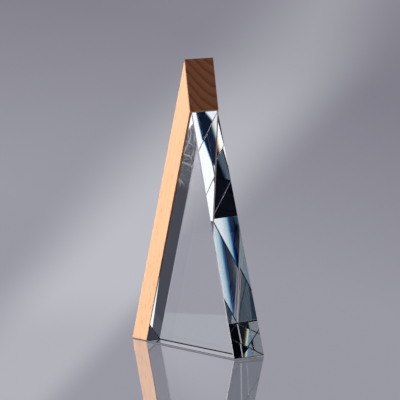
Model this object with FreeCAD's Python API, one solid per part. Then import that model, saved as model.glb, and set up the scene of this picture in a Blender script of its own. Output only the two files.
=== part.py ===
"""Peak award: a triangular optical-crystal prism with a solid beech slat along its left slope.

Frame: +Z up, front face towards -Y, origin at the middle of the underside. Units are
millimetres and degrees. Overall sizes are those before the edges are eased.
"""
import FreeCAD, Part
import os
from math import cos, radians, tan

# Driving dimensions of the outline, seen from the front
OVERALL_HEIGHT = 250.0
BASE_WIDTH = 147.5
LEFT_LEAN = 17.3          # lean of the slat and of the bonded slope, from vertical
RIGHT_LEAN = 16.7         # lean of the crystal's free slope, from vertical
END_CUT_LEAN = 9.9        # lean of the slat's end cut, from vertical
SLAT_WIDTH = 20.7         # square across the slat
SLAT_DEPTH = 30.6
SLAT_FRONT = -16.3        # Y of the slat's front

# The crystal is ground a little thinner towards its tip and towards the slat
MID_HEIGHT = 100.0        # height at which its two insets are measured, at X = 0
FRONT_INSET = 0.5         # of the crystal's front behind the slat's front
BACK_INSET = 0.0          # of the crystal's back in front of the slat's back
FRONT_TURN = 0.5          # plan angle of the front face
BACK_TURN = 1.05          # plan angle of the back face
FRONT_LEAN = 0.33         # lean of the front face towards the back
BACK_LEAN = 0.7           # lean of the back face towards the front

CRYSTAL_BEVEL = 0.6       # ground bevel on every crystal edge
SLAT_EASING = 0.4         # sanded arris on every slat edge
MIRROR_THICKNESS = 0.15
BOND_THICKNESS = 0.25
BOND_MARGIN = 0.7         # how far bond and mirror stop short of the crystal's edges
MIRROR_GAP = 0.02         # film of air between the mirror and the crystal

# Values that follow from them
LEFT = -BASE_WIDTH / 2
RIGHT = BASE_WIDTH / 2
SLAT_BACK = SLAT_FRONT + SLAT_DEPTH
LEFT_RISE = tan(radians(LEFT_LEAN))
RIGHT_RISE = tan(radians(RIGHT_LEAN))
ACROSS = 1 / cos(radians(LEFT_LEAN))      # width along X of one unit square across the left slope
SLAT_INNER = LEFT + SLAT_WIDTH * ACROSS
BOND_INNER = SLAT_INNER + BOND_THICKNESS * ACROSS
MIRROR_INNER = BOND_INNER + MIRROR_THICKNESS * ACROSS
CRYSTAL_LEFT = MIRROR_INNER + MIRROR_GAP * ACROSS
CRYSTAL_TOP = (RIGHT - CRYSTAL_LEFT) / (LEFT_RISE + RIGHT_RISE)


def on_left_slope(foot, height):
    """(x, z) at a height on the line that starts at foot and runs parallel to the slat."""
    return (foot + LEFT_RISE * height, height)


def slat_front(x, z):
    return SLAT_FRONT


def slat_back(x, z):
    return SLAT_BACK


def crystal_front(x, z):
    """Y of the crystal's front plane at a point of the outline."""
    turned = tan(radians(FRONT_TURN)) * x
    leaned = tan(radians(FRONT_LEAN)) * (z - MID_HEIGHT)
    return SLAT_FRONT + FRONT_INSET + turned + leaned


def crystal_back(x, z):
    """Y of the crystal's back plane at a point of the outline."""
    turned = tan(radians(BACK_TURN)) * x
    leaned = tan(radians(BACK_LEAN)) * (z - MID_HEIGHT)
    return SLAT_BACK - BACK_INSET + turned - leaned


def layer_front(x, z):
    return crystal_front(x, z) + BOND_MARGIN


def layer_back(x, z):
    return crystal_back(x, z) - BOND_MARGIN


def slab(outline, front, back):
    """Solid between two planes, front(x, z) and back(x, z), with an outline of (x, z) corners."""
    near = [FreeCAD.Vector(x, front(x, z), z) for x, z in outline]
    far = [FreeCAD.Vector(x, back(x, z), z) for x, z in outline]
    rings = [near, far]
    for i in range(len(outline)):
        j = (i + 1) % len(outline)
        rings.append([near[i], near[j], far[j], far[i]])
    faces = [Part.Face(Part.makePolygon(ring + ring[:1])) for ring in rings]
    return Part.makeSolid(Part.makeShell(faces))


def eased(body, size):
    """The same solid with every edge cut back by a flat of the given size."""
    return body.makeChamfer(size, body.Edges).Solids[0]


def make_crystal():
    """Triangular prism of optical crystal with a narrow ground bevel on each edge."""
    tip = on_left_slope(CRYSTAL_LEFT, CRYSTAL_TOP)
    outline = [(CRYSTAL_LEFT, 0), (RIGHT, 0), tip]
    return eased(slab(outline, crystal_front, crystal_back), CRYSTAL_BEVEL)


def make_slat():
    """Solid beech slat, flat at the floor, running past the crystal to a slanting end cut."""
    cut_foot = on_left_slope(SLAT_INNER, CRYSTAL_TOP)
    cut_run = tan(radians(END_CUT_LEAN)) * (OVERALL_HEIGHT - CRYSTAL_TOP)
    tip = (cut_foot[0] - cut_run, OVERALL_HEIGHT)
    outline = [(LEFT, 0), (SLAT_INNER, 0), cut_foot, tip]
    return eased(slab(outline, slat_front, slat_back), SLAT_EASING)


def make_slope_layer(outer_foot, inner_foot):
    """Thin sheet between two lines parallel to the slat, held back from the crystal's edges."""
    low = BOND_MARGIN
    high = CRYSTAL_TOP - BOND_MARGIN
    outline = [on_left_slope(outer_foot, low), on_left_slope(inner_foot, low),
               on_left_slope(inner_foot, high), on_left_slope(outer_foot, high)]
    return slab(outline, layer_front, layer_back)


def make_bond():
    """Adhesive bed on the slat's inner face."""
    return make_slope_layer(SLAT_INNER, BOND_INNER)


def make_mirror_backing():
    """Mirror backing over the crystal's bonded slope."""
    return make_slope_layer(BOND_INNER, MIRROR_INNER)


NODES = {
    "crystal": make_crystal,
    "slat": make_slat,
    "bond": make_bond,
    "mirror_backing": make_mirror_backing,
}

os.makedirs("parts", exist_ok=True)
for name, make in NODES.items():
    make().exportStep("parts/" + name + ".step")
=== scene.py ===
"""Peak award: a crystal prism bonded to a beech slat, on a glossy clear table in a soft studio."""
from math import cos, radians, sin, tan

import bpy
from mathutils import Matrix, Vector


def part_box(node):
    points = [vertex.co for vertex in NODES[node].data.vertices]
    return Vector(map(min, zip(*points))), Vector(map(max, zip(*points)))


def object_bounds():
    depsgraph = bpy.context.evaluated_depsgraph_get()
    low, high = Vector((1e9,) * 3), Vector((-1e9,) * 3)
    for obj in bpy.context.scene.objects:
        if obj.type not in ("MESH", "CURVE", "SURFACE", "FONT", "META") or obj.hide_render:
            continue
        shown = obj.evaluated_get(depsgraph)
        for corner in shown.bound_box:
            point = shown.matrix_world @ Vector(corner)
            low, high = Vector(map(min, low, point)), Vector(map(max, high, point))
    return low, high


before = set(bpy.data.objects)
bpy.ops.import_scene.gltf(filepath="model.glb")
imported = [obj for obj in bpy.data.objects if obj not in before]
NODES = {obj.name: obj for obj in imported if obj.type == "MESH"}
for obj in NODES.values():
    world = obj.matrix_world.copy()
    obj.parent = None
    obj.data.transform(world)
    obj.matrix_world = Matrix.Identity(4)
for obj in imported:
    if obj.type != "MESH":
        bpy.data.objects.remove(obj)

CAD_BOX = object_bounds()
SCENE = bpy.context.scene

# The camera: azimuth and elevation round the award, in degrees, and metres
CAMERA_AZIMUTH = 53.57
CAMERA_ELEVATION = 6.94
CAMERA_DISTANCE = 3.3786
CAMERA_LENS = 357.15      # millimetres
SENSOR = 36.0
CLIP = (0.05, 60.0)
AIM_RIGHT = 0.0262        # aim point right of the award's middle
AIM_FRONT = 0.0163        # and in front of it
AIM_HEIGHT = 0.1310

# The grey paper sweep, and its near sheet behind the award, in metres
PLAIN = (0.300, 0.298, 0.348, 1.0)         # away from the shaft of light
SWEEP_DARK = (0.216, 0.212, 0.254, 1.0)
SWEEP_LIGHT = (0.316, 0.314, 0.366, 1.0)
SHAFT_LIGHT = (1.22, 1.23, 1.28, 1.0)
FOLD_LIGHT = (0.455, 0.475, 0.520, 1.0)    # below the line at BEND_HEIGHT
GRADE_UP = -18.5          # change of the paper's lightness per slope upwards
GRADE_RIGHT = -5.95       # and to the right
GRADE_MIDDLE = 0.758      # from this on the camera's axis
SHAFT_LEAN = -0.95
SHAFT_LOW = -0.020        # the shaft of light turns softer and wider between these slopes
SHAFT_HIGH = 0.015
SWEEP_DISTANCE = 0.7
SWEEP_HALF_WIDTH = 0.55
SWEEP_HALF_HEIGHT = 0.45
SWEEP_SHIFT = 0.012       # of the near sheet's shaft of light, to the left
BEND_HEIGHT = -0.0833     # where the sheet turns lighter, downwards
BEND_SLOPE = 0.057        # how much that line falls to the right
BEND_SOFTNESS = 0.001

KEY_AZIMUTH = -32.0
KEY_ELEVATION = 28.0
KEY_DISTANCE = 2.0
KEY_AIM_HEIGHT = 0.12
KEY_SIZE = 1.2
KEY_POWER = 60.0          # watts
KEY_COLOUR = (1.0, 0.95, 0.92)

TABLE_REACH = 14.0
TABLE_HEIGHT = -0.0004    # a hair below the award's underside
TABLE_INDEX = 1.49
LOW_CARD_HEIGHT = -0.30   # studio cards under the table,
STRIP_HEIGHT = 0.8        # overhead
RIGHT_CARD_X = 0.6        # and at the right
BOUNCES = 40              # of light inside the crystal

SLOPE = radians(17.3)     # lean of the slat from vertical
GRAIN = Vector((sin(SLOPE), 0.0, cos(SLOPE)))
# facing of the slat's eased edge along the joint, which carries painted shade
SHADED_JOINT_EDGE = Vector((cos(SLOPE), -1.0, -sin(SLOPE))).normalized()
PITH_X = -0.150           # the growth rings' centre, outside the slat
PITH_Y = 0.030
RING_WIDTH = 0.0042
RING_DRIFT = 0.008

CRYSTAL_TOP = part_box("crystal")[1].z
CRYSTAL_INDEX = 1.517
POLISHED_COSINE = 0.9995  # faces that agree this well with a main face are polished, others ground
UNDER_BEVEL_TOP = 0.0007  # bevels below this height run round the underside
FREE_SIDE_X = 0.020       # bevels beyond this run up the free side
FRONT_COSINE = 0.9
VEIN_BORDER = (0.146, 0.154)    # heights between which the veins begin
VEIN_FADE = (0.040, 0.008)      # and distances to the right between which they end

# What stands round the award: azimuth, elevation, half angle and softness in degrees, and colour
STUDIO = (
    (-25.0, 40.0, 16.0, 6.0, (1.3, 1.28, 1.25)),       # rim of the key light's diffuser, front left
    (-53.0, 0.0, 17.0, 6.0, (0.40, 0.40, 0.44)),       # grey flag that the front face mirrors
    (-155.0, -54.0, 12.0, 3.0, (1.18, 1.20, 1.20)),    # lit paper under the table, behind
    (-20.0, -53.0, 16.0, 4.0, (0.013, 0.022, 0.042)),  # dark under the table, in front
    (-17.0, -50.5, 4.3, 0.5, (0.001, 0.002, 0.006)),
    (9.0, 51.0, 14.0, 4.0, (0.006, 0.014, 0.026)),     # dark overhead, in front
    (17.2, 55.2, 1.5, 0.3, (0.210, 0.265, 0.290)),
    (168.0, 54.0, 12.0, 3.0, (0.165, 0.225, 0.280)),   # slate overhead, behind
    (173.2, 49.3, 3.2, 0.3, (0.044, 0.062, 0.076)),
    (128.5, 18.0, 12.0, 3.0, (0.215, 0.230, 0.255)),   # grey at the right, behind
    (52.2, -37.0, 6.0, 2.0, (0.020, 0.020, 0.025)),
    (134.0, 36.0, 5.0, 1.0, (0.015, 0.022, 0.030)),
    (132.2, -33.0, 9.0, 3.0, (0.125, 0.130, 0.165)),
    (132.8, -38.5, 4.7, 0.9, (0.056, 0.058, 0.074)),
    (39.6, 38.0, 4.6, 1.0, (0.070, 0.090, 0.105)),     # dark flags, for the table's mirror image
    (141.0, 38.3, 3.4, 0.6, (0.085, 0.105, 0.120)),
    (125.5, -19.5, 3.0, 1.0, (0.120, 0.120, 0.150)),
)

# A far panel at the right that only the crystal sees, in degrees and metres, and its patches
PANEL_AZIMUTH = 56.0
PANEL_ELEVATION = 18.0
PANEL_DISTANCE = 50.0
PANEL_HALF = 14.0
PANEL_PATCHES = (
    (56.0, 18.0, 9.0, 4.0, (0.190, 0.205, 0.250)),     # grey
    (46.0, 17.5, 5.6, 0.3, (0.002, 0.004, 0.008)),     # with a black gap
)


def direction(azimuth, elevation):
    """Unit vector from the award towards an azimuth and elevation, in degrees."""
    a = radians(azimuth)
    e = radians(elevation)
    return Vector((sin(a) * cos(e), -cos(a) * cos(e), sin(e)))


def add_camera():
    data = bpy.data.cameras.new("camera")
    data.lens = CAMERA_LENS
    data.sensor_width = SENSOR
    data.clip_start, data.clip_end = CLIP
    camera = bpy.data.objects.new("camera", data)
    SCENE.collection.objects.link(camera)
    middle = (CAD_BOX[0] + CAD_BOX[1]) / 2
    aim = Vector((middle.x + AIM_RIGHT, middle.y - AIM_FRONT, AIM_HEIGHT))
    back = direction(CAMERA_AZIMUTH, CAMERA_ELEVATION)
    camera.location = aim + back * CAMERA_DISTANCE
    camera.rotation_mode = "QUATERNION"
    camera.rotation_quaternion = (-back).to_track_quat("-Z", "Y")
    SCENE.camera = camera


class Graph:
    """Short hand for a node tree: graph.math("ADD", a, b), with a number or a socket as value."""

    def __init__(self, tree):
        self.tree = tree

    def node(self, kind, **settings):
        made = self.tree.nodes.new(kind)
        for key, value in settings.items():
            setattr(made, key, value)
        return made

    def feed(self, socket, value):
        if isinstance(value, bpy.types.NodeSocket):
            self.tree.links.new(value, socket)
        else:
            socket.default_value = value

    def math(self, operation, *values, clamp=False):
        made = self.node("ShaderNodeMath", operation=operation, use_clamp=clamp)
        for socket, value in zip(made.inputs, values):
            self.feed(socket, value)
        return made.outputs[0]

    def dot(self, vector, other):
        made = self.node("ShaderNodeVectorMath", operation="DOT_PRODUCT")
        self.feed(made.inputs[0], vector)
        self.feed(made.inputs[1], other)
        return made.outputs["Value"]

    def step(self, value, low, high, to_low=0.0, to_high=1.0):
        """Smooth step of a value from low to high."""
        made = self.node("ShaderNodeMapRange", interpolation_type="SMOOTHSTEP")
        for name, item in (("Value", value), ("From Min", low), ("From Max", high),
                           ("To Min", to_low), ("To Max", to_high)):
            self.feed(made.inputs[name], item)
        return made.outputs["Result"]

    def mix(self, factor, a, b, blend="MIX"):
        made = self.node("ShaderNodeMix", data_type="RGBA", blend_type=blend)
        self.feed(made.inputs["Factor"], factor)
        self.feed(made.inputs[6], a)
        self.feed(made.inputs[7], b)
        return made.outputs[2]

    def split(self, vector):
        """The X, Y and Z sockets of a vector."""
        made = self.node("ShaderNodeSeparateXYZ")
        self.feed(made.inputs[0], vector)
        return made.outputs

    def noise(self, vector, scale, detail=2.0, roughness=0.5):
        made = self.node("ShaderNodeTexNoise")
        self.feed(made.inputs["Vector"], vector)
        for name, value in (("Scale", scale), ("Detail", detail), ("Roughness", roughness)):
            self.feed(made.inputs[name], value)
        return made.outputs["Fac"]

    def mapped(self, vector, scale=(1, 1, 1), rotation=(0, 0, 0), location=(0, 0, 0)):
        made = self.node("ShaderNodeMapping")
        self.feed(made.inputs["Vector"], vector)
        self.feed(made.inputs["Scale"], scale)
        self.feed(made.inputs["Rotation"], rotation)
        self.feed(made.inputs["Location"], location)
        return made.outputs["Vector"]

    def bump(self, height, strength, distance):
        made = self.node("ShaderNodeBump")
        self.feed(made.inputs["Height"], height)
        self.feed(made.inputs["Strength"], strength)
        self.feed(made.inputs["Distance"], distance)
        return made.outputs["Normal"]


def new_material(name):
    """An empty principled material, its graph and its shader."""
    material = bpy.data.materials.new(name)
    material.use_nodes = True
    graph = Graph(material.node_tree)
    shader = material.node_tree.nodes["Principled BSDF"]
    return material, graph, shader


def dress(node, material):
    """Gives a CAD node its material."""
    mesh = NODES[node].data
    mesh.materials.clear()
    mesh.materials.append(material)


def main_normals(node, share=0.02):
    """Unit normals of a node's large flat faces: those with more than a share of its surface."""
    mesh = NODES[node].data
    sums = {}
    for face in mesh.polygons:
        key = tuple(round(c, 2) for c in face.normal)
        area, normal = sums.get(key, (0.0, Vector()))
        sums[key] = (area + face.area, normal + face.normal * face.area)
    total = sum(area for area, normal in sums.values())
    return [normal.normalized() for area, normal in sums.values() if area > share * total]


def crystal_material():
    material, graph, shader = new_material("crystal")
    place = graph.node("ShaderNodeTexCoord").outputs["Object"]
    surface = graph.node("ShaderNodeNewGeometry")
    facing = surface.outputs["True Normal"]
    polished = 0.0
    for normal in main_normals("crystal"):
        along = graph.math("ABSOLUTE", graph.dot(facing, normal))
        agrees = graph.math("GREATER_THAN", along, POLISHED_COSINE)
        polished = graph.math("MAXIMUM", polished, agrees)
    ground = graph.math("SUBTRACT", 1.0, polished)
    grit = graph.noise(place, 2500.0, 2.0)
    rough = graph.math("MULTIPLY", ground, graph.step(grit, 0.3, 0.7, 0.18, 0.3))
    graph.feed(shader.inputs["Roughness"], rough)
    # the bevels round the underside sit in their own shadow
    axes = graph.split(place)
    under = graph.math("LESS_THAN", axes["Z"], UNDER_BEVEL_TOP)
    bevel = graph.mix(under, (0.92, 0.92, 0.93, 1.0), (0.015, 0.015, 0.02, 1.0))
    # those at the free side are a little frosted and catch the key light, more so lower down
    free = graph.math("GREATER_THAN", axes["X"], FREE_SIDE_X)
    frost = graph.math("MULTIPLY", free, graph.step(axes["Z"], 0.025, 0.110, 0.85, 0.30))
    frost = graph.math("MULTIPLY", ground, graph.math("MAXIMUM", frost, under))
    # the veins show on the surface, and not to light that is already inside
    veins = graph.math("MULTIPLY", engraving(graph, place, facing),
                       graph.math("SUBTRACT", 1.0, surface.outputs["Backfacing"]))
    graph.feed(shader.inputs["Base Color"], graph.mix(ground, (0.985, 0.992, 1.0, 1.0), bevel))
    graph.feed(shader.inputs["Transmission Weight"],
               graph.math("SUBTRACT", 1.0, graph.math("MAXIMUM", frost, veins)))
    shader.inputs["IOR"].default_value = CRYSTAL_INDEX
    return material


def engraving(graph, place, facing):
    """Faint frosted veins, like cracked ice, on the upper left of the front face."""
    front = graph.math("GREATER_THAN", graph.dot(facing, (0.0, -1.0, 0.0)), FRONT_COSINE)
    warp = graph.noise(place, 60.0, 2.0)
    bent = graph.node("ShaderNodeVectorMath", operation="MULTIPLY_ADD")
    graph.feed(bent.inputs[0], (0.020, 0.0, 0.012))
    graph.feed(bent.inputs[1], warp)
    graph.feed(bent.inputs[2], place)
    cells = graph.node("ShaderNodeTexVoronoi", feature="DISTANCE_TO_EDGE")
    graph.feed(cells.inputs["Vector"], graph.mapped(bent.outputs[0], scale=(1.6, 0.0, 1.0)))
    graph.feed(cells.inputs["Scale"], 55.0)
    line = graph.step(cells.outputs["Distance"], 0.045, 0.012)
    hatch = graph.mapped(bent.outputs[0], scale=(1.0, 0.0, 3.5), rotation=(0.0, 0.6, 0.0))
    haze = graph.step(graph.noise(hatch, 420.0, 2.0), 0.44, 0.64, 0.0, 0.10)
    # the veins thin out to the right and end in a ragged lower border
    axes = graph.split(place)
    ragged = graph.math("ADD", axes["Z"], graph.math("MULTIPLY", warp, 0.020))
    high = graph.step(ragged, *VEIN_BORDER)
    left = graph.step(axes["X"], *VEIN_FADE)
    mark = graph.math("MAXIMUM", graph.math("MULTIPLY", line, 0.20), haze)
    where = graph.math("MULTIPLY", front, high)
    return graph.math("MULTIPLY", where, graph.math("MULTIPLY", left, mark))


def mirror_material():
    material, graph, shader = new_material("mirror_backing")
    place = graph.node("ShaderNodeTexCoord").outputs["Object"]
    cloud = graph.noise(place, 60.0, 3.0)
    tint = graph.mix(cloud, (0.86, 0.87, 0.88, 1.0), (0.91, 0.92, 0.93, 1.0))
    graph.feed(shader.inputs["Base Color"], tint)
    shader.inputs["Metallic"].default_value = 1.0
    shader.inputs["Roughness"].default_value = 0.0
    return material


def bond_material():
    material, graph, shader = new_material("bond")
    place = graph.node("ShaderNodeTexCoord").outputs["Object"]
    cloud = graph.noise(place, 300.0, 3.0)
    graph.feed(shader.inputs["Base Color"],
               graph.mix(cloud, (0.02, 0.008, 0.004, 1.0), (0.05, 0.02, 0.01, 1.0)))
    graph.feed(shader.inputs["Roughness"], graph.step(cloud, 0.3, 0.7, 0.25, 0.45))
    return material


def beech_material():
    """Solid beech: one texture through the whole block, so side grain and end grain agree."""
    material, graph, shader = new_material("beech")
    place = graph.node("ShaderNodeTexCoord").outputs["Object"]
    facing = graph.node("ShaderNodeTexCoord").outputs["Normal"]
    # x across the slat, y through its depth, z along the grain
    board = graph.mapped(place, rotation=(0.0, -SLOPE, 0.0))
    drift = graph.noise(graph.mapped(board, scale=(1.0, 1.0, 0.12)), 28.0, 2.0)
    # distance from the pith, drifting slowly along the grain
    axes = graph.split(board)
    away_x = graph.math("SUBTRACT", axes["X"], PITH_X)
    away_y = graph.math("SUBTRACT", axes["Y"], PITH_Y)
    radius = graph.math("SQRT", graph.math("ADD", graph.math("MULTIPLY", away_x, away_x),
                                           graph.math("MULTIPLY", away_y, away_y)))
    radius = graph.math("ADD", radius, graph.math("MULTIPLY", drift, RING_DRIFT))
    ring = graph.math("FRACT", graph.math("DIVIDE", radius, RING_WIDTH))
    late = graph.math("MULTIPLY", graph.step(ring, 0.35, 0.95), graph.step(ring, 1.0, 0.96))
    # fine fibres and short medullary flecks
    fibre = graph.noise(graph.mapped(board, scale=(1.0, 1.0, 0.03)), 1500.0, 3.0, 0.6)
    cells = graph.node("ShaderNodeTexVoronoi")
    graph.feed(cells.inputs["Vector"], graph.mapped(board, scale=(1.0, 1.0, 0.16)))
    graph.feed(cells.inputs["Scale"], 650.0)
    graph.feed(cells.inputs["Randomness"], 1.0)
    fleck = graph.step(cells.outputs["Distance"], 0.34, 0.16)
    patch = graph.noise(graph.mapped(board, scale=(1.0, 1.0, 0.3)), 120.0, 2.0)
    fleck = graph.math("MULTIPLY", fleck, graph.step(patch, 0.4, 0.6))
    light = (0.87, 0.525, 0.305, 1.0)
    dark = (0.78, 0.430, 0.233, 1.0)
    side = graph.mix(graph.math("MULTIPLY", late, 0.45), light, dark)
    side = graph.mix(graph.step(fibre, 0.35, 0.75, 0.0, 0.35), side, (0.66, 0.36, 0.19, 1.0))
    side = graph.mix(graph.math("MULTIPLY", fleck, 0.55), side, (0.42, 0.19, 0.09, 1.0))
    # end grain is coloured darker and redder than side grain
    along = graph.math("ABSOLUTE", graph.dot(facing, GRAIN))
    cut = graph.step(along, 0.2, 0.4)
    pores = graph.noise(graph.mapped(board, scale=(1.0, 1.0, 0.03)), 2200.0, 2.0, 0.5)
    end = graph.mix(graph.math("MULTIPLY", late, 0.55),
                    (0.48, 0.250, 0.150, 1.0), (0.29, 0.125, 0.065, 1.0))
    end = graph.mix(graph.step(pores, 0.5, 0.75, 0.0, 0.4), end, (0.22, 0.100, 0.050, 1.0))
    # painted shade: the slat's eased edge along the joint, below the crystal's top, is coloured
    # near black for the shadow in the gap beside the crystal
    beside = graph.step(graph.dot(facing, SHADED_JOINT_EDGE), 0.85, 0.95)
    below = graph.step(graph.split(place)["Z"], CRYSTAL_TOP, CRYSTAL_TOP - 0.001)
    side = graph.mix(graph.math("MULTIPLY", beside, below), side, (0.07, 0.025, 0.008, 1.0))
    graph.feed(shader.inputs["Base Color"], graph.mix(cut, side, end))
    graph.feed(shader.inputs["Roughness"], graph.step(fibre, 0.3, 0.7, 0.42, 0.6))
    relief = graph.math("SUBTRACT", fibre, graph.math("MULTIPLY", fleck, 0.5))
    graph.feed(shader.inputs["Normal"], graph.bump(relief, 0.25, 0.0002))
    shader.inputs["Specular IOR Level"].default_value = 0.35
    return material


def ramp(graph, value, stops):
    """Colour ramp through (position, colour) stops."""
    made = graph.node("ShaderNodeValToRGB")
    graph.feed(made.inputs["Fac"], value)
    points = made.color_ramp.elements
    while len(points) < len(stops):
        points.new(1.0)
    for point, (position, colour) in zip(points, stops):
        point.position = position
        point.color = (*colour, 1.0)
    return made.outputs["Color"]


def lit_world():
    """The studio round the award, by direction: the sweep, and the patches of STUDIO over it."""
    world = bpy.data.worlds.new("studio")
    SCENE.world = world
    world.use_nodes = True
    graph = Graph(world.node_tree)
    output = world.node_tree.nodes["Background"]
    way = graph.node("ShaderNodeTexCoord").outputs["Generated"]
    colour = sweep(graph, way)
    graph.feed(output.inputs["Color"], patched(graph, way, colour, STUDIO))


def patched(graph, way, colour, patches):
    """Lays round patches over a colour, by direction."""
    for azimuth, elevation, half, soft, paint in patches:
        near = graph.dot(way, direction(azimuth, elevation))
        cover = graph.step(near, cos(radians(half + soft)), cos(radians(half - soft)))
        colour = graph.mix(cover, colour, (*paint, 1.0))
    return colour


def add_far_panel():
    """A grey panel with a black gap, far off at the right: the table doesn't mirror it."""
    towards = direction(PANEL_AZIMUTH, PANEL_ELEVATION)
    across, over = facing_axes(towards)
    material, graph, glow = emission("far_panel")
    place = graph.node("ShaderNodeTexCoord").outputs["Object"]
    unit = graph.node("ShaderNodeVectorMath", operation="NORMALIZE")
    graph.feed(unit.inputs[0], place)
    graph.feed(glow.inputs["Color"], patched(graph, unit.outputs[0], PLAIN, PANEL_PATCHES))
    corners = [towards * PANEL_DISTANCE + across * (PANEL_HALF * x) + over * (PANEL_HALF * y)
               for x, y in ((-1, -1), (1, -1), (1, 1), (-1, 1))]
    add_card("far_panel", corners, material)


def sweep_paint(graph, right, high):
    """Grey paper, darker upwards and to the right, with one soft diagonal shaft of light.

    right and high are slopes from the camera's axis.
    """
    level = graph.math("ADD", graph.math("MULTIPLY", right, GRADE_RIGHT), GRADE_MIDDLE)
    level = graph.math("ADD", graph.math("MULTIPLY", high, GRADE_UP), level, clamp=True)
    base = graph.mix(level, SWEEP_DARK, SWEEP_LIGHT)

    def upwards(low, top):
        return graph.step(high, SHAFT_LOW, SHAFT_HIGH, low, top)

    # the distance across the shaft, which leans, and bends twice on its way up
    slant = graph.math("ADD", right, graph.math("MULTIPLY", high, SHAFT_LEAN))
    bend = graph.math("ADD", upwards(0.0, 0.0055), graph.step(high, 0.028, 0.060, 0.0, 0.015))
    bend = graph.math("ADD", slant, bend)
    right_edge = graph.step(bend, upwards(0.0165, 0.0225), upwards(0.0040, -0.0010))
    left_edge = graph.step(slant, upwards(-0.0350, -0.0420), -0.0110)
    shaft = graph.math("MULTIPLY", left_edge, right_edge)
    # it is strongest in the middle, and a faint halo lies round its upper part
    power = graph.math("MULTIPLY", graph.step(high, 0.0, 0.046, 0.200, 0.102),
                       graph.step(high, -0.036, -0.020, 0.68, 1.0))
    halo = graph.math("MULTIPLY", graph.step(slant, -0.110, -0.020, 0.0, 0.030),
                      graph.step(high, -0.005, 0.020))
    halo = graph.math("MULTIPLY", halo, graph.step(slant, 0.022, 0.0))
    shine = graph.math("ADD", graph.math("MULTIPLY", shaft, power), halo)
    return graph.mix(shine, base, SHAFT_LIGHT)


def sweep(graph, way):
    """The sweep by direction; its upper half copies the lower, which shows through the table."""
    behind = direction(CAMERA_AZIMUTH + 180.0, -CAMERA_ELEVATION)
    across, over = facing_axes(behind)
    axes = graph.split(way)
    join = graph.node("ShaderNodeCombineXYZ")
    graph.feed(join.inputs["X"], axes["X"])
    graph.feed(join.inputs["Y"], axes["Y"])
    graph.feed(join.inputs["Z"], graph.math("MULTIPLY", graph.math("ABSOLUTE", axes["Z"]), -1.0))
    depth = graph.math("MAXIMUM", graph.dot(join.outputs[0], behind), 0.05)
    right = graph.math("DIVIDE", graph.dot(join.outputs[0], across), depth)
    high = graph.math("DIVIDE", graph.dot(join.outputs[0], over), depth)
    ahead = graph.step(graph.dot(join.outputs[0], behind), 0.05, 0.50)
    return graph.mix(ahead, PLAIN, sweep_paint(graph, right, high))


def facing_axes(towards):
    """Unit vectors to the right and upwards across a plane that is looked at along towards."""
    across = Vector((towards.y, -towards.x, 0.0)).normalized()
    return across, across.cross(towards)


def add_near_sweep():
    """The same sweep as a sheet close behind the award, for what the crystal shows of it."""
    ahead = direction(CAMERA_AZIMUTH + 180.0, 0.0)
    across = facing_axes(direction(CAMERA_AZIMUTH + 180.0, -CAMERA_ELEVATION))[0]
    camera = SCENE.camera.location
    reach = ahead.dot(-camera) + SWEEP_DISTANCE
    foot = Vector((camera.x, camera.y, 0.0)) + ahead * reach
    material, graph, glow = emission("near_sweep")
    place = graph.node("ShaderNodeTexCoord").outputs["Object"]
    along = graph.math("SUBTRACT", graph.dot(place, across), across.dot(foot) - SWEEP_SHIFT)
    right = graph.math("DIVIDE", along, reach / cos(radians(CAMERA_ELEVATION)))
    level = camera.z - reach * tan(radians(CAMERA_ELEVATION))
    height = graph.split(place)["Z"]
    rise = graph.math("SUBTRACT", height, level)
    high = graph.math("MULTIPLY", rise, cos(radians(CAMERA_ELEVATION)) ** 2 / reach)
    # it is lighter below a sloping line under the table
    fold = graph.math("ADD", height, graph.math("MULTIPLY", along, BEND_SLOPE))
    low = graph.step(fold, BEND_HEIGHT + BEND_SOFTNESS, BEND_HEIGHT - BEND_SOFTNESS)
    graph.feed(glow.inputs["Color"], graph.mix(low, sweep_paint(graph, right, high), FOLD_LIGHT))
    half = across * SWEEP_HALF_WIDTH
    top = Vector((0.0, 0.0, SWEEP_HALF_HEIGHT))
    corners = [foot - half - top, foot + half - top, foot + half + top, foot - half + top]
    add_card("near_sweep", corners, material)


def emission(name):
    """A material that only glows, its graph and its glow."""
    material = bpy.data.materials.new(name)
    material.use_nodes = True
    tree = material.node_tree
    tree.nodes.clear()
    graph = Graph(tree)
    glow = graph.node("ShaderNodeEmission")
    end = graph.node("ShaderNodeOutputMaterial")
    graph.feed(end.inputs["Surface"], glow.outputs[0])
    return material, graph, glow


def add_card(name, corners, material):
    """A flat studio card that only light leaving the crystal meets."""
    mesh = bpy.data.meshes.new(name)
    mesh.from_pydata(corners, [], [tuple(range(len(corners)))])
    mesh.materials.append(material)
    card = bpy.data.objects.new(name, mesh)
    SCENE.collection.objects.link(card)
    card.visible_camera = False
    card.visible_diffuse = False
    card.visible_glossy = False
    card.visible_shadow = False


def add_overhead_strips():
    """Two narrow diffusers high in front, each with a blue-gelled near edge beside a dark flag."""
    fade = ((-0.0185, (0.105, 0.125, 0.130)), (-0.0155, (0.095, 0.115, 0.120)),
            (-0.0130, (0.020, 0.028, 0.034)), (-0.0100, (0.001, 0.006, 0.014)),
            (-0.0055, (0.000, 0.008, 0.032)), (-0.0035, (0.000, 0.030, 0.120)),
            (-0.0020, (0.020, 0.130, 0.300)), (-0.0005, (0.240, 0.450, 0.560)),
            (0.0015, (0.480, 0.640, 0.740)), (0.0050, (0.700, 0.800, 0.880)),
            (0.0090, (0.950, 0.980, 1.020)))
    for name, slope, start, low, high in (
            ("strip_near", -0.644, -0.5128, -0.018, 0.020),
            ("strip_far", -0.584, -0.4536, -0.022, 0.030)):
        size = (1.0 + slope * slope) ** 0.5
        normal = Vector((-slope / size, 1.0 / size, 0.0))
        run = Vector((normal.y, -normal.x, 0.0))
        foot = Vector((0.0, start, STRIP_HEIGHT))
        corners = [foot + run * end + normal * side
                   for end, side in ((-0.5, low), (0.7, low), (0.7, high), (-0.5, high))]
        graded_card(name, corners, normal, normal.dot(foot), fade)


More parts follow.
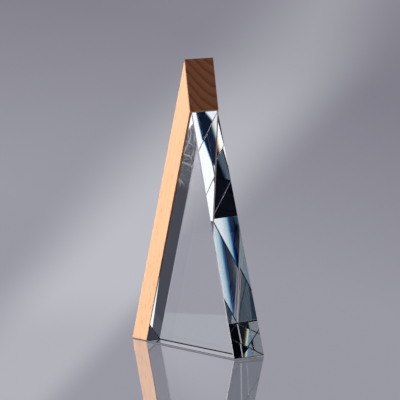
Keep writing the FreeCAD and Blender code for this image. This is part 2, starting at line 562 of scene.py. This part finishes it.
def graded_card(name, corners, normal, start, fade):
    """A card whose glow is graded along a direction: fade lists (distance past start, colour)."""
    material, graph, glow = emission(name)
    place = graph.node("ShaderNodeTexCoord").outputs["Object"]
    first, last = fade[0][0], fade[-1][0]
    past = graph.math("SUBTRACT", graph.dot(place, normal), start + first)
    share = graph.math("DIVIDE", past, last - first, clamp=True)
    stops = [((at - first) / (last - first), paint) for at, paint in fade]
    graph.feed(glow.inputs["Color"], ramp(graph, share, stops))
    add_card(name, corners, material)


def level_card(name, outline, heading, edge, fade):
    """A graded card under the table: the grade runs towards heading, from the point edge."""
    normal = Vector((*heading, 0.0)).normalized()
    corners = [Vector((x, y, LOW_CARD_HEIGHT)) for x, y in outline]
    graded_card(name, corners, normal, normal.dot(Vector((*edge, LOW_CARD_HEIGHT))), fade)


def add_low_cards():
    """White, grey and black cards under the clear table, in front of and behind the award."""
    dark = (0.013, 0.022, 0.042)
    white = (1.18, 1.20, 1.20)
    pale_blue = (0.50, 0.70, 1.10)
    blue = (0.013, 0.060, 0.180)
    slate = (0.012, 0.024, 0.045)
    # in front
    level_card("white_left",
               ((-0.135, -0.162), (-0.088, -0.162), (-0.088, -0.1735),
                (-0.1095, -0.1735), (-0.1095, -0.184), (-0.135, -0.184)),
               (-0.10, -1.0), (-0.105, -0.1679),
               ((-0.0036, dark), (-0.0018, (0.036, 0.052, 0.070)), (-0.0008, (0.125, 0.150, 0.180)),
                (0.0003, (0.43, 0.47, 0.49)), (0.0015, (0.70, 0.74, 0.72)),
                (0.0028, (0.90, 0.92, 0.88)), (0.0060, (0.95, 0.93, 0.91))))
    level_card("white_middle",
               ((-0.115, -0.184), (-0.0915, -0.184), (-0.083, -0.202), (-0.115, -0.204)),
               (-0.492, -0.870), (-0.1011, -0.1886),
               ((-0.0025, dark), (-0.0014, (0.04, 0.05, 0.07)), (-0.0004, (0.22, 0.26, 0.30)),
                (0.0006, (0.74, 0.80, 0.86)), (0.0017, (1.00, 1.04, 1.12))))
    level_card("white_front",
               ((-0.104, -0.2360), (-0.0615, -0.2360), (-0.0615, -0.262), (-0.104, -0.262)),
               (0.0, -1.0), (-0.08, -0.2385),
               ((-0.0013, (0.10, 0.06, 0.04)), (0.0, (0.55, 0.34, 0.24)),
                (0.0018, (1.15, 0.92, 0.68)), (0.0030, (1.20, 1.20, 1.12)),
                (0.0065, (1.20, 1.24, 1.20))))
    level_card("white_corner",
               ((-0.0700, -0.150), (-0.050, -0.150), (-0.050, -0.163), (-0.0700, -0.163)),
               (1.0, 0.0), (-0.0700, -0.16),
               ((0.0, dark), (0.0015, (0.02, 0.06, 0.16)), (0.0035, (0.60, 0.75, 0.95)),
                (0.02, (1.0, 1.0, 1.0))))
    level_card("grey_front",
               ((-0.0614, -0.2450), (-0.0330, -0.2500), (-0.026, -0.264), (-0.0614, -0.264)),
               (-0.15, -1.0), (-0.045, -0.2455),
               ((0.0, (0.001, 0.002, 0.006)), (0.0035, (0.012, 0.018, 0.026)),
                (0.0062, (0.075, 0.098, 0.128)), (0.0110, (0.095, 0.120, 0.158))))
    # behind
    level_card("flag_left",
               ((-0.130, 0.1900), (-0.0775, 0.2005), (-0.0775, 0.2085), (-0.130, 0.2085)),
               (-0.2026, 1.0), (-0.0994, 0.1990),
               ((-0.0008, white), (-0.0001, pale_blue), (0.0007, blue), (0.0020, slate)))
    level_card("flag_far",
               ((-0.150, 0.2165), (-0.090, 0.2165), (-0.090, 0.240), (-0.150, 0.240)),
               (0.0, 1.0), (-0.1, 0.2180),
               ((-0.0006, white), (0.0001, pale_blue), (0.0009, blue), (0.0022, slate)))
    # the bright sliver along the joint
    level_card("white_joint",
               ((0.250, 0.260), (0.330, 0.300), (0.330, 0.3357), (0.250, 0.2831)),
               (0.658, -1.0), (0.2613, 0.2902),
               ((0.0, dark), (0.0004, (1.10, 1.12, 1.10)), (0.02, (1.1, 1.12, 1.1))))


def add_right_cards():
    """Two grey cards at the right, each with a bright prismatic edge next to a black gap."""
    fade = ((-0.0120, (0.180, 0.225, 0.260)), (-0.0045, (0.170, 0.222, 0.280)),
            (-0.0020, (0.146, 0.237, 0.430)), (-0.0009, (0.300, 0.480, 0.560)),
            (0.0, (0.600, 0.720, 0.460)), (0.0009, (0.420, 0.330, 0.130)),
            (0.0020, (0.085, 0.065, 0.045)), (0.0045, (0.020, 0.024, 0.026)))
    front, back = -0.437, -0.405
    for name, point, heading, low, high in (
            ("prism_low", (-0.4252, 0.2471), (1.68, 1.0), 0.2280, 0.2675),
            ("prism_high", (-0.4236, 0.2808), (2.20, 1.0), 0.2675, 0.2950)):
        normal = Vector((0.0, *heading)).normalized()
        corners = [Vector((RIGHT_CARD_X, y, z))
                   for y, z in ((front, low), (back, low), (back, high), (front, high))]
        graded_card(name, corners, normal, normal.dot(Vector((RIGHT_CARD_X, *point))), fade)


def add_key_light():
    """Large soft box at the front left; only matt surfaces answer to it."""
    data = bpy.data.lights.new("key", "AREA")
    data.shape = "RECTANGLE"
    data.size = KEY_SIZE
    data.size_y = KEY_SIZE
    data.energy = KEY_POWER
    data.color = KEY_COLOUR
    light = bpy.data.objects.new("key", data)
    SCENE.collection.objects.link(light)
    way = direction(KEY_AZIMUTH, KEY_ELEVATION)
    light.location = way * KEY_DISTANCE + Vector((0.0, 0.0, KEY_AIM_HEIGHT))
    light.rotation_mode = "QUATERNION"
    light.rotation_quaternion = way.to_track_quat("Z", "Y")
    for ray in ("camera", "glossy", "transmission"):
        setattr(light, "visible_" + ray, False)


def add_table():
    """A wide clear glass table top: it mirrors the award and lets the sweep show through."""
    mesh = bpy.data.meshes.new("table")
    corners = [(TABLE_REACH * x, TABLE_REACH * y, TABLE_HEIGHT)
               for x, y in ((-1, -1), (1, -1), (1, 1), (-1, 1))]
    mesh.from_pydata(corners, [], [(0, 1, 2, 3)])
    table = bpy.data.objects.new("table", mesh)
    SCENE.collection.objects.link(table)
    material = bpy.data.materials.new("table")
    material.use_nodes = True
    tree = material.node_tree
    tree.nodes.clear()
    graph = Graph(tree)
    clear = graph.node("ShaderNodeBsdfTransparent")
    gloss = graph.node("ShaderNodeBsdfGlossy")
    gloss.inputs["Roughness"].default_value = 0.01
    gloss.inputs["Color"].default_value = (1.0, 1.0, 1.0, 1.0)
    fresnel = graph.node("ShaderNodeFresnel")
    fresnel.inputs["IOR"].default_value = TABLE_INDEX
    both = graph.node("ShaderNodeMixShader")
    # a sheet has two faces that mirror: together they return 2F / (1 + F)
    once = fresnel.outputs[0]
    twice = graph.math("DIVIDE", graph.math("MULTIPLY", once, 2.0), graph.math("ADD", once, 1.0))
    # here this fades to nothing where light strikes them steeply
    graph.feed(both.inputs[0], graph.math("MULTIPLY", twice, graph.step(once, 0.05, 0.15)))
    graph.feed(both.inputs[1], clear.outputs[0])
    graph.feed(both.inputs[2], gloss.outputs[0])
    end = graph.node("ShaderNodeOutputMaterial")
    graph.feed(end.inputs["Surface"], both.outputs[0])
    mesh.materials.append(material)


def set_light_paths():
    """Room for the many bounces inside the crystal."""
    cycles = SCENE.cycles
    cycles.max_bounces = BOUNCES
    cycles.transmission_bounces = BOUNCES
    cycles.glossy_bounces = BOUNCES
    cycles.transparent_max_bounces = BOUNCES
    cycles.diffuse_bounces = 4
    cycles.caustics_refractive = True
    cycles.caustics_reflective = False
    SCENE.view_settings.view_transform = "Standard"
    # a photographic toe: the deepest shadows close up
    SCENE.view_settings.use_curve_mapping = True
    mapping = SCENE.view_settings.curve_mapping
    toe = mapping.curves[3]
    for level, shown in ((0.02, 0.003), (0.04, 0.016), (0.08, 0.066), (0.16, 0.157)):
        toe.points.new(level, shown)
    mapping.update()


dress("crystal", crystal_material())
dress("mirror_backing", mirror_material())
dress("bond", bond_material())
dress("slat", beech_material())
add_camera()
lit_world()
add_table()
add_overhead_strips()
add_low_cards()
add_right_cards()
add_near_sweep()
add_far_panel()
add_key_light()
set_light_paths()
